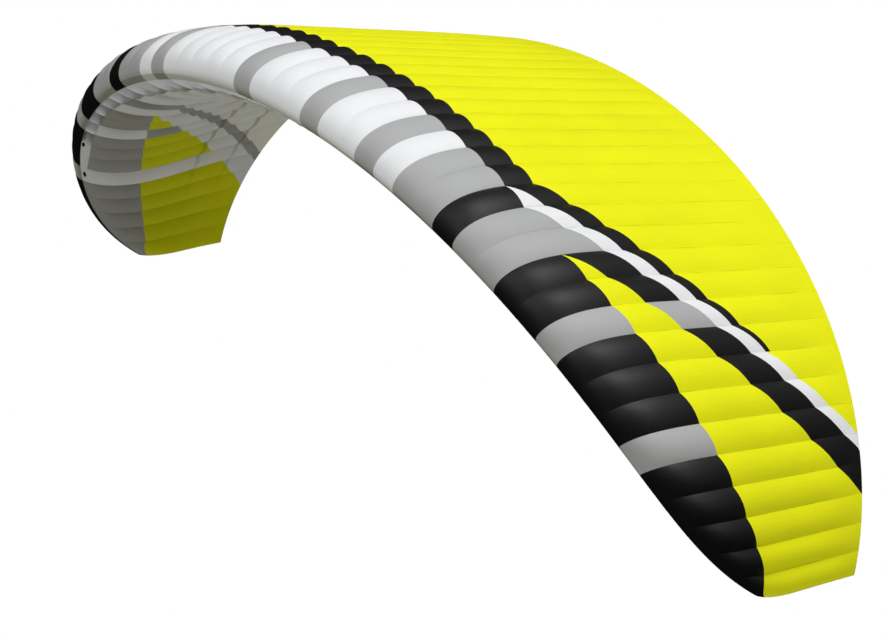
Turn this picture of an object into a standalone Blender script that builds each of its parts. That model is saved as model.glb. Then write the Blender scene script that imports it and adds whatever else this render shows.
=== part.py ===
"""Ram-air paraglider canopy, inflated: cloth skins billowed over airfoil ribs, with intakes under the nose.

Axes: +X runs to the right wing tip, +Y to the trailing edge, +Z up.
Origin: on the lower skin in the middle of the span, 30 % of the chord behind the leading edge.
Every skin and rib is a closed sheet of even thickness. Neighbouring sheets lie a small seam gap apart.
"""
import math

import bpy
import numpy as np

# ---- driving dimensions: metres and degrees ----
FLAT_SPAN = 11.0
ROOT_CHORD = 2.944
CELL_COUNT = 50
CELLS_PER_BAY = 5
CLOTH = 0.002
SEAM_GAP = 0.00035

# power of the span fraction (0 in the middle, 1 at the tip), metres at the tip
LEADING_EDGE_BACK = ((2, 0.739), (4, 0.259), (8, 0.278), (20, 0.191))
TRAILING_EDGE_FORWARD = ((2, 0.515), (4, 0.238), (8, -0.112))
# power of the span fraction, degrees at the tip
ARC_SLOPE = ((1, 50.0), (3, 1.8), (5, 35.3))
TIP_WASH = ((2, 0.1), (4, 1.4))
# power of the cell's place on the span, share of its width lost at the tip
CELL_NARROWING = ((2, 0.0535), (6, 0.2417))

# airfoil: Bernstein weights from nose to tail of the class function sqrt(x) * (1 - x)
UPPER_WEIGHTS = (0.327, 0.162, 0.113, 0.115)
LOWER_WEIGHTS = (0.232, 0.269, 0.076, 0.102)
TIP_THICKENING = 0.265
TWIST_CENTRE = 0.25

# places along the chord, as fractions of it
NOSE_SEAM = 0.18
LIP = 0.0175
ORIGIN_PLACE = 0.30
RIB_TAIL = 0.97

# rib counted from the tip, and the rear edge of the intakes there: straight between the two, level outside them
INTAKE_BACK = ((12, 0.05), (16, 0.08))

# billow of the skins between two ribs, as a share of the cell's width
UPPER_BILLOW = 0.12
LOWER_BILLOW = 0.08
NOSE_FULLNESS = 0.35
NOSE_FADE = 0.12
TAIL_FADE = 0.80

# chord stations where the facets of each sheet meet
NOSE_OVER = (0.0036, 0.0324, 0.09)
NOSE_UNDER = (0.0016,)
UPPER_STATIONS = (0.28, 0.40, 0.55, 0.75)
LOWER_STATIONS = (0.15, 0.30, 0.50, 0.75)

# colour of the cloth: red, green, blue, in linear values
CLOTH_COLOURS = {
    "white": (0.85, 0.86, 0.87),
    "black": (0.015, 0.015, 0.016),
    "yellow": (0.80, 0.82, 0.015),
    "grey": (0.41, 0.42, 0.44),
    "rib_white": (0.80, 0.80, 0.78),
}
# first and last bay of each colour run, counted from either tip inwards
UPPER_COLOUR_RUNS = (("yellow", 0, 1), ("white", 2, 4))
NOSE_COLOUR_RUNS = (("black", 0, 2), ("grey", 3, 3), ("white", 4, 4))

HALF_SPAN = FLAT_SPAN / 2
BAY_COUNT = CELL_COUNT // CELLS_PER_BAY
TAIL_HALF = CLOTH + SEAM_GAP / 2
ARC_STEPS = 400


def series(table, a):
    """Sum of a (power, coefficient) table at span fraction a."""
    return sum(coefficient * a ** power for power, coefficient in table)


def arc_curve():
    """Height and sideways place of the arched span at ARC_STEPS even steps from the middle to the tip."""
    fraction = np.linspace(0, 1, ARC_STEPS + 1)
    middle = (fraction[1:] + fraction[:-1]) / 2
    slope = np.radians(series(ARC_SLOPE, middle))
    step = HALF_SPAN / ARC_STEPS
    across = np.concatenate(([0], np.cumsum(np.cos(slope) * step)))
    down = np.concatenate(([0], np.cumsum(np.sin(slope) * step)))
    return fraction, across, down


ARC = arc_curve()


def rib_places():
    """Span fraction of every rib, -1 to 1: the cells get narrower towards the tips."""
    widths = []
    for cell in range(CELL_COUNT):
        place = abs((cell + 0.5) * 2 / CELL_COUNT - 1)
        widths.append(1 - series(CELL_NARROWING, place))
    edges = np.concatenate(([0], np.cumsum(widths)))
    return edges * 2 / edges[-1] - 1


RIBS = rib_places()


def intake_back(u):
    """Chord fraction of the intakes' rear edge at span fraction u, which every lower panel starts at."""
    from_tip = [min(rib, CELL_COUNT - rib) for rib in range(CELL_COUNT + 1)]
    return float(np.interp(u, RIBS, np.interp(from_tip, *zip(*INTAKE_BACK))))


def profile(t):
    """Chord fraction and height fraction at t: -1 lower tail, 0 nose, 1 upper tail."""
    x = t * t
    weights = UPPER_WEIGHTS if t >= 0 else LOWER_WEIGHTS
    bernstein = ((1 - x) ** 3, 3 * x * (1 - x) ** 2, 3 * x * x * (1 - x), x ** 3)
    return x, t * (1 - x) * sum(w * b for w, b in zip(weights, bernstein))


def section(u, t):
    """Point of the bare airfoil at span fraction u, in the plane of the rib: (back, out)."""
    a = abs(u)
    front = series(LEADING_EDGE_BACK, a)
    chord = ROOT_CHORD - series(TRAILING_EDGE_FORWARD, a) - front
    x, z = profile(t)
    back = (x - TWIST_CENTRE) * chord
    out = z * (1 + TIP_THICKENING * a * a) * chord + math.copysign(TAIL_HALF * x, t)
    wash = math.radians(series(TIP_WASH, a))
    turned_back = back * math.cos(wash) - out * math.sin(wash)
    turned_out = back * math.sin(wash) + out * math.cos(wash)
    return np.array((front + TWIST_CENTRE * chord + turned_back, turned_out))


def outward(u, t):
    """Unit vector that points out of the airfoil at t, in the plane of the rib."""
    step = 0.0005
    along = section(u, t + step) - section(u, t - step) if abs(t) > step else section(u, step) - section(u, -step)
    along = along / np.linalg.norm(along)
    return np.array((-along[1], along[0]))


def to_world(u, place):
    """World position of a (back, out) point of the rib plane at span fraction u."""
    a = abs(u)
    side = math.copysign(1, u)
    slope = math.radians(series(ARC_SLOPE, a))
    across = np.interp(a, ARC[0], ARC[1]) + place[1] * math.sin(slope)
    height = place[1] * math.cos(slope) - np.interp(a, ARC[0], ARC[2])
    return np.array((side * across, place[0], height))


ORIGIN = to_world(0, section(0, -math.sqrt(ORIGIN_PLACE)))


def sweep_stretch(u, t):
    """How much deeper a skin has to be cut in the rib plane to be CLOTH thick where the edge is swept."""
    step = 0.0005
    run = (section(u + step, t) - section(u - step, t)) @ outward(u, t)
    return math.hypot(1, run / (2 * step * HALF_SPAN))


def point(u, t, depth=0.0, billow=0.0):
    """World position on the skin at (u, t), pushed out by billow and in by depth."""
    push = billow - depth * sweep_stretch(u, t)
    return to_world(u, section(u, t) + outward(u, t) * push) - ORIGIN


def fullness(t):
    """Share of the full billow at t: little round the nose, none at the tail."""
    x = t * t
    share = 1.0
    if x < NOSE_FADE:
        share = NOSE_FULLNESS + (1 - NOSE_FULLNESS) * (1 - (1 - x / NOSE_FADE) ** 2)
    if x > TAIL_FADE:
        share = 1 - ((x - TAIL_FADE) / (1 - TAIL_FADE)) ** 2
    return share * (UPPER_BILLOW if t >= 0 else LOWER_BILLOW)


def add_object(name, colour, vertices, faces):
    """One mesh object with its own cloth material."""
    mesh = bpy.data.meshes.new(name)
    mesh.from_pydata([tuple(v) for v in vertices], [], faces)
    mesh.validate()
    material = bpy.data.materials.new(name + "_" + colour)
    material.use_nodes = True
    shader = material.node_tree.nodes["Principled BSDF"]
    shader.inputs["Base Color"].default_value = (*CLOTH_COLOURS[colour], 1)
    shader.inputs["Roughness"].default_value = 0.55
    shader.inputs["Metallic"].default_value = 0.0
    mesh.materials.append(material)
    bpy.context.scene.collection.objects.link(bpy.data.objects.new(name, mesh))


def bay_rows(bay):
    """(span fraction, billow width, cell's first half?) of each row of points across a bay of cells."""
    first = bay * CELLS_PER_BAY
    inset = SEAM_GAP / 2 / HALF_SPAN
    rows = []
    for cell in range(first, first + CELLS_PER_BAY):
        left = RIBS[cell]
        right = RIBS[cell + 1]
        rows.append((left + inset if cell == first else left, 0.0))
        rows.append(((left + right) / 2, (right - left) * HALF_SPAN))
    rows.append((RIBS[first + CELLS_PER_BAY] - inset, 0.0))
    return rows


def make_skin(name, colour, bay, stations_at):
    """A closed sheet over one bay, from station to station along the airfoil at each span fraction."""
    rows = bay_rows(bay)
    vertices = []
    for depth in (0.0, CLOTH):
        for u, width in rows:
            for t in stations_at(u):
                vertices.append(point(u, t, depth, width * fullness(t)))
    columns = len(stations_at(0))
    inner = len(rows) * columns
    faces = []
    for row in range(len(rows) - 1):
        for column in range(columns - 1):
            a = row * columns + column
            b = a + columns
            c = b + 1
            d = a + 1
            # the diagonal leans the other way in each half of a cell, so that every cell is symmetric
            split = ((a, b, c), (a, c, d)) if row % 2 == 0 else ((a, b, d), (b, c, d))
            for corners in split:
                faces.append(corners)
                faces.append(tuple(corner + inner for corner in reversed(corners)))
    rim = [row * columns for row in range(len(rows))]
    rim += [(len(rows) - 1) * columns + column for column in range(1, columns)]
    rim += [row * columns + columns - 1 for row in reversed(range(len(rows) - 1))]
    rim += list(reversed(range(1, columns - 1)))
    for here, there in zip(rim, rim[1:] + rim[:1]):
        faces.append((there, here, here + inner, there + inner))
    add_object(name, colour, vertices, faces)


def over(fractions):
    """Stations on the upper surface at the given chord fractions."""
    return [math.sqrt(x) for x in fractions]


def under(fractions):
    """Stations on the lower surface at the given chord fractions, from the back forwards."""
    return [-math.sqrt(x) for x in reversed(fractions)]


def edge_shift(bay):
    """Half a seam gap as a fraction of the chord in the middle of a bay."""
    middle = abs(bay + 0.5 - BAY_COUNT / 2) * 2 / BAY_COUNT
    chord = ROOT_CHORD - series(TRAILING_EDGE_FORWARD, middle) - series(LEADING_EDGE_BACK, middle)
    return SEAM_GAP / 2 / chord


def is_tip_bay(bay):
    """The two tip bays have no intakes."""
    return bay in (0, BAY_COUNT - 1)


def run_colour(runs, bay):
    """Colour of a bay from a table of runs counted from the tips inwards."""
    from_tip = min(bay, BAY_COUNT - 1 - bay)
    return next(colour for colour, first, last in runs if first <= from_tip <= last)


def make_nose_panel(bay):
    shift = edge_shift(bay)
    stations = under((*NOSE_UNDER, LIP)) + over((*NOSE_OVER, NOSE_SEAM - shift))
    make_skin(f"nose_panel_{bay + 1:02d}", run_colour(NOSE_COLOUR_RUNS, bay), bay, lambda u: stations)


def make_upper_panel(bay):
    stations = over((NOSE_SEAM + edge_shift(bay), *UPPER_STATIONS, 1.0))
    make_skin(f"upper_panel_{bay + 1:02d}", run_colour(UPPER_COLOUR_RUNS, bay), bay, lambda u: stations)


def make_lower_panel(bay):
    closed_front = (LIP + 2 * edge_shift(bay),) if is_tip_bay(bay) else ()

    def stations_at(u):
        return under((*closed_front, intake_back(u), *LOWER_STATIONS, 1.0))

    make_skin(f"lower_panel_{bay + 1:02d}", run_colour(UPPER_COLOUR_RUNS, bay), bay, stations_at)


def rib_outline(u):
    """Outline of a rib face at span fraction u, a seam gap inside the skins."""
    depth = CLOTH + SEAM_GAP
    lower = under((*NOSE_UNDER, LIP, intake_back(u), *LOWER_STATIONS))
    upper = over((*NOSE_OVER, NOSE_SEAM, *UPPER_STATIONS))
    outline = [point(u, t, depth) for t in lower + upper]
    # the last facet of each skin is straight, so the rib's tail corners lie on the lines along it
    share = (RIB_TAIL - UPPER_STATIONS[-1]) / (1 - UPPER_STATIONS[-1])
    upper_tail = outline[-1] * (1 - share) + point(u, 1.0, depth) * share
    lower_tail = outline[0] * (1 - share) + point(u, -1.0, depth) * share
    return [lower_tail, *outline, upper_tail]


def make_rib(number):
    half = CLOTH / 2 / HALF_SPAN
    u = min(max(RIBS[number], half - 1), 1 - half)
    left = rib_outline(u - half)
    right = rib_outline(u + half)
    count = len(left)
    faces = [tuple(range(count)), tuple(reversed(range(count, 2 * count)))]
    for here in range(count):
        there = (here + 1) % count
        faces.append((there, here, here + count, there + count))
    add_object(f"rib_{number:02d}", "rib_white", left + right, faces)


for old in list(bpy.data.objects):
    bpy.data.objects.remove(old)

for bay_number in range(BAY_COUNT):
    make_nose_panel(bay_number)
    make_upper_panel(bay_number)
    make_lower_panel(bay_number)

for rib_number in range(0, CELL_COUNT + 1, 2):
    make_rib(rib_number)
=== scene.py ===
import math

import bmesh
import bpy
import numpy as np
from mathutils import Matrix, Vector


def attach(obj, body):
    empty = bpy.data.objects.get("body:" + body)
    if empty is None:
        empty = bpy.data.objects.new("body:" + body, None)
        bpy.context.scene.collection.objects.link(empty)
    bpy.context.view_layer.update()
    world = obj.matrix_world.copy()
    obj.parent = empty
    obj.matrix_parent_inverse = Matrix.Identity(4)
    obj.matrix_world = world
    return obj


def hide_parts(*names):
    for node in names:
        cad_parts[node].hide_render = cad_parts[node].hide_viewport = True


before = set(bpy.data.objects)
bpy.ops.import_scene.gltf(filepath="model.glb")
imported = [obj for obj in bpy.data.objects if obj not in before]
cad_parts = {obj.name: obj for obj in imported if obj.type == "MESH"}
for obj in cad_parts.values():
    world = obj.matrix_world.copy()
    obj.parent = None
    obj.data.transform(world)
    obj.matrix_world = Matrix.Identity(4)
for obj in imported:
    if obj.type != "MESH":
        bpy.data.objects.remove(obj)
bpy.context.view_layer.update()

# An inflated ram-air paraglider canopy, in flight, without its lines.
# +X runs to the right wing tip, +Y to the trailing edge, +Z up.
# Metres and radians, unless a name says degrees.

# ================================================
# Nose panels. One strip of cloth for each of the 50 cells wraps the leading edge, from the seam on top
# down to the lip of the air intake. Siliconised ripstop nylon in black, grey and white, sewn to the ribs
# with a doubled hem at the lip; the air pressure billows every strip between its two ribs.
# ================================================
HALF_SPAN = 5.5
ROOT_CHORD = 2.944
CELL_COUNT = 50

# power of the span fraction (0 in the middle, 1 at the tip), and metres or degrees at the tip
LEADING_EDGE_BACK = ((2, 0.739), (4, 0.259), (8, 0.278), (20, 0.191))
TRAILING_EDGE_FORWARD = ((2, 0.515), (4, 0.238), (8, -0.112))
ARC_SLOPE_DEGREES = ((1, 50.0), (3, 1.8), (5, 35.3))
TIP_WASH_DEGREES = ((2, 0.1), (4, 1.4))
# power of the cell's place on the span, and the share of its width that it loses at the tip
CELL_NARROWING = ((2, 0.0535), (6, 0.2417))

# airfoil: Bernstein weights from nose to tail of the class function sqrt(x) * (1 - x)
UPPER_WEIGHTS = (0.327, 0.162, 0.113, 0.115)
LOWER_WEIGHTS = (0.232, 0.269, 0.076, 0.102)
TIP_THICKENING = 0.265
TWIST_CENTRE = 0.25
TAIL_HALF = 0.002175

# places along the chord, as fractions of it
LIP = 0.0175
ORIGIN_PLACE = 0.30
# rib counted from the tip, and the rear edge of the intakes there: straight between the two, level outside
INTAKE_BACK = ((12, 0.05), (16, 0.08))

# billow between two ribs, as a share of the cell's width: the stiff nose has none, and it fades at the tail
UPPER_BILLOW = 0.12
LOWER_BILLOW = 0.125
# power of the span fraction, and the further share of the upper billow at the tip, whose cells stand rounder
TIP_SWELL = ((12, 0.8),)
STIFF_NOSE_STATION = 0.32
FULL_UNDERSIDE_STATION = -0.36
TAIL_FADE = 0.60
# the doubled hem in front of the intakes ends at this station on the underside, where its darker tint meets
# the painted shade above it
HEM_STATION = -0.055

# real ripstop cloth is 0.04 mm thick; the sheets are drawn thicker so that they stay solid
CLOTH_THICKNESS = 0.0008
# edges of cloth that turn by more than this stay sharp
SHARP_DEGREES = 17
NYLON_IOR = 1.53
ROWS_PER_CELL = 12
NOSE_COLUMNS = 30

# colour runs of the nose panels, from the left tip to the right tip
NOSE_RUNS = (
    ("black", 5), ("grey", 1), ("black", 3), ("grey", 1), ("black", 2), ("grey", 2), ("black", 1),
    ("grey", 2), ("white", 1), ("grey", 1), ("white", 5), ("grey", 1), ("white", 3), ("grey", 1),
    ("white", 2), ("grey", 1), ("white", 1), ("grey", 2), ("black", 1), ("grey", 2), ("black", 2),
    ("grey", 1), ("black", 3), ("grey", 1), ("black", 5),
)
# straight lines of the seam: metres behind the root's nose at mid-span, and per metre of span;
# the rearmost counts
NOSE_SEAM_LINES = ((0.522, 0.058), (-0.270, 0.322))


def series(table, fraction):
    """Sum of a (power, coefficient) table at a span fraction."""
    return sum(coefficient * abs(fraction) ** power for power, coefficient in table)


def rib_places():
    """Span fraction of every rib, -1 to 1: the cells get narrower towards the tips."""
    widths = [1 - series(CELL_NARROWING, (cell + 0.5) * 2 / CELL_COUNT - 1) for cell in range(CELL_COUNT)]
    edges = np.concatenate(([0], np.cumsum(widths)))
    return [float(edge) for edge in edges * 2 / edges[-1] - 1]


RIBS = rib_places()
RIBS_FROM_TIP = [min(rib, CELL_COUNT - rib) for rib in range(CELL_COUNT + 1)]
INTAKE_BACKS = np.interp(RIBS_FROM_TIP, *zip(*INTAKE_BACK))


def chord_at(span):
    """Metres from the root's nose back to the nose at a span fraction, and the chord there."""
    front = series(LEADING_EDGE_BACK, span)
    return front, ROOT_CHORD - series(TRAILING_EDGE_FORWARD, span) - front


def station_at(span, back):
    """Station (root of the chord fraction) of the place that many metres behind the root's nose."""
    front, chord = chord_at(span)
    return math.sqrt(max(back - front, 0) / chord)


def seam_back(lines, span):
    """Metres behind the root's nose of a seam made of straight lines."""
    return max(offset + slope * abs(span) * HALF_SPAN for offset, slope in lines)


def nose_seam(rib):
    return station_at(RIBS[rib], seam_back(NOSE_SEAM_LINES, RIBS[rib]))


def contour_length(span, station):
    """Metres of cloth along the airfoil from the nose to a station."""
    return chord_at(span)[1] * station * math.hypot(station, UPPER_WEIGHTS[0])


def cut_cloth(name, strips):
    """The flat pattern of one cloth, its panels still joined, in metres across and along the wing.

    A strip is (cell, front stations at its two ribs, rear stations at its two ribs, columns); stations are
    negative on the underside, and each strip is listed from the lower station to the higher one.
    """
    shares = [(1 - math.cos(math.pi * row / ROWS_PER_CELL)) / 2 for row in range(ROWS_PER_CELL + 1)]
    index = {}
    points = []
    faces = []
    for cell, start, end, columns in strips:
        left, right = RIBS[cell], RIBS[cell + 1]
        width = (right - left) * HALF_SPAN
        grid = []
        for share in shares:
            span = left + (right - left) * share
            first = max(-1, min(1, start[0] + (start[1] - start[0]) * share))
            last = max(-1, min(1, end[0] + (end[1] - end[0]) * share))
            line = []
            for column in range(columns + 1):
                station = first + (last - first) * column / columns
                key = (round(span, 6), round(station, 6))
                if key not in index:
                    index[key] = len(points)
                    points.append((span, station, share, width))
                line.append(index[key])
            grid.append(line)
        for near, far in zip(grid, grid[1:]):
            for a, b, c, d in zip(near, far, far[1:], near[1:]):
                corners = list(dict.fromkeys((a, b, c, d)))
                if len(corners) > 2:
                    faces.append(corners)
    return pattern_mesh(name, points, faces)


def pattern_mesh(name, points, faces):
    """A flat mesh in metres from points of (span, station, share of the cell's width, cell's width)."""
    flat = [(span * HALF_SPAN, contour_length(span, station), 0) for span, station, share, width in points]
    mesh = bpy.data.meshes.new(name)
    mesh.from_pydata(flat, [], faces)
    columns_of = dict(zip(("span", "station", "across", "width"), np.array(points, np.float32).T))
    columns_of["seam"] = np.minimum(columns_of["across"], 1 - columns_of["across"]) * columns_of["width"]
    # metres behind the rear edge of the intakes
    edges = [contour_length(span, math.sqrt(np.interp(span, RIBS, INTAKE_BACKS))) for span, *rest in points]
    behind_nose = np.array([-place[1] for place in flat], np.float32)
    columns_of["behind_intake"] = behind_nose - np.array(edges, np.float32)
    # every second rib carries lines: 0 on it, 1 on its neighbours
    odd_cell = (np.searchsorted(RIBS, columns_of["span"], side="right") - 1) % 2
    columns_of["off_line_rib"] = np.abs(odd_cell - columns_of["across"])
    columns_of["back"] = columns_of["station"] ** 2
    columns_of["from_tip"] = np.interp(columns_of["span"], RIBS, RIBS_FROM_TIP)
    for label, values in columns_of.items():
        mesh.attributes.new(label, "FLOAT", "POINT").data.foreach_set("value", np.ascontiguousarray(values))
    pattern = mesh.uv_layers.new(name="pattern")
    for loop in mesh.loops:
        pattern.data[loop.index].uv = flat[loop.vertex_index][:2]
    return mesh


def add_node(tree, kind, *values, **settings):
    """A node with its settings. Values fill its inputs in order: None keeps one, nodes and sockets link."""
    node = tree.nodes.new(kind)
    for setting, value in settings.items():
        setattr(node, setting, value)
    for socket, value in zip([s for s in node.inputs if s.enabled], values):
        if isinstance(value, bpy.types.Node):
            value = next(s for s in value.outputs if s.enabled)
        if isinstance(value, bpy.types.NodeSocket):
            tree.links.new(value, socket)
        elif value is not None:
            socket.default_value = value
    return node


def new_tree(name, inputs, outputs):
    """An empty geometry tree with named inputs and outputs: (name, socket type) pairs."""
    tree = bpy.data.node_groups.new(name, "GeometryNodeTree")
    for label, kind in inputs:
        tree.interface.new_socket(label, in_out="INPUT", socket_type=kind)
    for label, kind in outputs:
        tree.interface.new_socket(label, in_out="OUTPUT", socket_type=kind)
    given = tree.nodes.new("NodeGroupInput")
    return tree, given.outputs


FLOAT = "NodeSocketFloat"
VECTOR = "NodeSocketVector"
GEOMETRY = "NodeSocketGeometry"
MATERIAL = "NodeSocketMaterial"


def maths(tree, operation, *values):
    """One step of arithmetic on numbers."""
    return add_node(tree, "ShaderNodeMath", *values, operation=operation)


def vectors(tree, operation, *values):
    """One step of arithmetic on vectors."""
    return add_node(tree, "ShaderNodeVectorMath", *values, operation=operation)


def remap(tree, value, *ends, **settings):
    """Carries a value from one range to another: the ends of the first, then those of the second."""
    return add_node(tree, "ShaderNodeMapRange", value, *ends, **settings)


def use_group(tree, group, *values):
    """Sends values through another tree."""
    return add_node(tree, "GeometryNodeGroup", *values, node_tree=group)


def read(tree, *labels):
    """Nodes that read numbers kept on the mesh."""
    return [add_node(tree, "GeometryNodeInputNamedAttribute", label) for label in labels]


def finish_cloth(tree, cloth, position, material):
    """Moves the points of a cloth to their position, gives it its material and hands it out."""
    cloth = add_node(tree, "GeometryNodeSetPosition", cloth, None, position)
    cloth = add_node(tree, "GeometryNodeRealizeInstances", cloth)
    cloth = add_node(tree, "GeometryNodeSetMaterial", cloth, None, material)
    add_node(tree, "NodeGroupOutput", cloth)


def add_series(tree, table, fraction):
    """Nodes that sum a (power, coefficient) table at a span fraction."""
    total = 0.0
    for power, coefficient in table:
        raised = maths(tree, "POWER", fraction, float(power))
        total = maths(tree, "MULTIPLY_ADD", raised, coefficient, total)
    return total


def airfoil_group():
    """Station (-1 lower tail, 0 nose, 1 upper tail) to place and height, in fractions of the chord."""
    tree, given = new_tree("airfoil", [("Station", FLOAT)], [("Back", FLOAT), ("Height", FLOAT)])
    station = given["Station"]
    back = maths(tree, "MULTIPLY", station, station)
    rest = maths(tree, "SUBTRACT", 1.0, back)
    upper = maths(tree, "GREATER_THAN", station, 0.0)
    total = 0.0
    for power, (above, below) in enumerate(zip(UPPER_WEIGHTS, LOWER_WEIGHTS)):
        weight = maths(tree, "MULTIPLY_ADD", upper, above - below, below)
        raised = maths(tree, "POWER", back, float(power))
        fallen = maths(tree, "POWER", rest, float(3 - power))
        term = maths(tree, "MULTIPLY", raised, fallen)
        term = maths(tree, "MULTIPLY", term, float(math.comb(3, power)))
        total = maths(tree, "MULTIPLY_ADD", term, weight, total)
    height = maths(tree, "MULTIPLY", total, rest)
    height = maths(tree, "MULTIPLY", height, station)
    add_node(tree, "NodeGroupOutput", back, height)
    return tree


def rib_plane_group():
    """A place on the airfoil, in fractions of the chord, to metres in the plane of the rib at that span."""
    tree, given = new_tree(
        "rib plane",
        [("Span", FLOAT), ("Back", FLOAT), ("Height", FLOAT), ("Side", FLOAT), ("Root chord", FLOAT)],
        [("Place", VECTOR), ("Chord", FLOAT)],
    )
    fraction = maths(tree, "ABSOLUTE", given["Span"])
    front = add_series(tree, LEADING_EDGE_BACK, fraction)
    chord = maths(tree, "SUBTRACT", given["Root chord"], front)
    short = add_series(tree, TRAILING_EDGE_FORWARD, fraction)
    chord = maths(tree, "SUBTRACT", chord, short)
    back = maths(tree, "SUBTRACT", given["Back"], TWIST_CENTRE)
    back = maths(tree, "MULTIPLY", back, chord)
    square = maths(tree, "MULTIPLY", fraction, fraction)
    thickness = maths(tree, "MULTIPLY_ADD", square, TIP_THICKENING, 1.0)
    height = maths(tree, "MULTIPLY", given["Height"], thickness)
    height = maths(tree, "MULTIPLY", height, chord)
    tail = maths(tree, "MULTIPLY", given["Back"], given["Side"])
    height = maths(tree, "MULTIPLY_ADD", tail, TAIL_HALF, height)
    degrees = add_series(tree, TIP_WASH_DEGREES, fraction)
    wash = maths(tree, "RADIANS", degrees)
    place = add_node(tree, "ShaderNodeCombineXYZ", 0.0, back, height)
    turned = add_node(tree, "ShaderNodeVectorRotate", place, (0, 0, 0), wash, rotation_type="X_AXIS")
    centre = maths(tree, "MULTIPLY_ADD", chord, TWIST_CENTRE, front)
    centre = add_node(tree, "ShaderNodeCombineXYZ", 0.0, centre, 0.0)
    place = vectors(tree, "ADD", turned, centre)
    add_node(tree, "NodeGroupOutput", place, chord)
    return tree


def arched_span_group():
    """A place in the plane of a rib to its place on the arched wing, counted from the wing's origin."""
    steps = 400
    tree, given = new_tree(
        "arched span",
        [("Span", FLOAT), ("Place", VECTOR), ("Half span", FLOAT), ("Origin", VECTOR)],
        [("Position", VECTOR)],
    )
    # the arc: a line of even steps, each turned down by the slope in its own middle
    index = add_node(tree, "GeometryNodeInputIndex")
    middle = maths(tree, "ADD", index, 0.5)
    middle = maths(tree, "DIVIDE", middle, float(steps))
    slope = maths(tree, "RADIANS", add_series(tree, ARC_SLOPE_DEGREES, middle))
    step = maths(tree, "DIVIDE", given["Half span"], float(steps))
    level = add_node(tree, "ShaderNodeCombineXYZ", step, 0.0, 0.0)
    turned = add_node(tree, "ShaderNodeVectorRotate", level, (0, 0, 0), slope, rotation_type="Y_AXIS")
    summed = add_node(tree, "GeometryNodeAccumulateField", turned, data_type="FLOAT_VECTOR")
    line = add_node(tree, "GeometryNodeMeshLine", steps + 1)
    line = add_node(tree, "GeometryNodeSetPosition", line, None, summed.outputs["Trailing"])
    arc = add_node(tree, "GeometryNodeMeshToCurve", line)
    # the rib's place on that arc, its height square to the arc, and the same mirrored on the left half
    fraction = maths(tree, "ABSOLUTE", given["Span"])
    sampled = add_node(tree, "GeometryNodeSampleCurve", arc, None, fraction, mode="FACTOR")
    tilt = maths(tree, "RADIANS", add_series(tree, ARC_SLOPE_DEGREES, fraction))
    tilted = add_node(tree, "ShaderNodeVectorRotate", given["Place"], (0, 0, 0), tilt, rotation_type="Y_AXIS")
    position = vectors(tree, "ADD", sampled.outputs["Position"], tilted)
    side = maths(tree, "SIGN", given["Span"])
    mirror = add_node(tree, "ShaderNodeCombineXYZ", side, 1.0, 1.0)
    position = vectors(tree, "MULTIPLY", position, mirror)
    position = vectors(tree, "SUBTRACT", position, given["Origin"])
    add_node(tree, "NodeGroupOutput", position)
    return tree


AIRFOIL = airfoil_group()
RIB_PLANE = rib_plane_group()
ARCHED_SPAN = arched_span_group()


def inflated_skin_tree():
    """Lays a flat pattern on the wing's airfoils and billows it between the ribs."""
    tree, given = new_tree(
        "inflated skin",
        [("Cloth", GEOMETRY), ("Half span", FLOAT), ("Root chord", FLOAT), ("Origin", VECTOR),
         ("Upper billow", FLOAT), ("Lower billow", FLOAT), ("Material", MATERIAL)],
        [("Cloth", GEOMETRY)],
    )
    span, station, across, width = read(tree, "span", "station", "across", "width")
    side = maths(tree, "SIGN", station)
    probe = 0.002
    places = []
    for shift in (0.0, probe, -probe):
        moved = maths(tree, "ADD", station, shift)
        foil = use_group(tree, AIRFOIL, moved)
        places.append(use_group(
            tree, RIB_PLANE, span, foil.outputs["Back"], foil.outputs["Height"], side, given["Root chord"]
        ))
    place, ahead, behind = places
    along = vectors(tree, "SUBTRACT", ahead, behind)
    outward = vectors(tree, "CROSS_PRODUCT", (1, 0, 0), along)
    outward = vectors(tree, "NORMALIZE", outward)
    # the share of the full billow here: none from the lip round to the nose, and none at the tail
    back = maths(tree, "MULTIPLY", station, station)
    top = remap(tree, station, 0.0, STIFF_NOSE_STATION, 0.0, 1.0, interpolation_type="SMOOTHSTEP")
    bottom = remap(
        tree, station, -math.sqrt(LIP), FULL_UNDERSIDE_STATION, 0.0, 1.0, interpolation_type="SMOOTHSTEP"
    )
    nose = maths(tree, "ADD", top, bottom)
    tail = remap(tree, back, TAIL_FADE, 1.0, 0.0, 1.0)
    tail = maths(tree, "MULTIPLY", tail, tail)
    tail = maths(tree, "SUBTRACT", 1.0, tail)
    upper = maths(tree, "GREATER_THAN", station, 0.0)
    billows = (given["Lower billow"], given["Upper billow"])
    billow = remap(tree, upper, 0.0, 1.0, *billows)
    swell = add_series(tree, TIP_SWELL, maths(tree, "ABSOLUTE", span))
    swell = maths(tree, "MULTIPLY_ADD", swell, upper, 1.0)
    # the bulge across the cell: a parabola from rib to rib
    other = maths(tree, "SUBTRACT", 1.0, across)
    push = maths(tree, "MULTIPLY", across, other)
    for factor in (4.0, width, billow, swell, nose, tail):
        push = maths(tree, "MULTIPLY", push, factor)
    pushed = vectors(tree, "SCALE", outward, push)
    place = vectors(tree, "ADD", place, pushed)
    position = use_group(tree, ARCHED_SPAN, span, place, given["Half span"], given["Origin"])
    finish_cloth(tree, given["Cloth"], position, given["Material"])
    return tree


INFLATED_SKIN = inflated_skin_tree()


def foil_height(station):
    """Height of the middle airfoil at a station, in fractions of the chord."""
    back = station * station
    weights = UPPER_WEIGHTS if station > 0 else LOWER_WEIGHTS
    terms = [math.comb(3, k) * w * back ** k * (1 - back) ** (3 - k) for k, w in enumerate(weights)]
    return station * (1 - back) * sum(terms)


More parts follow.
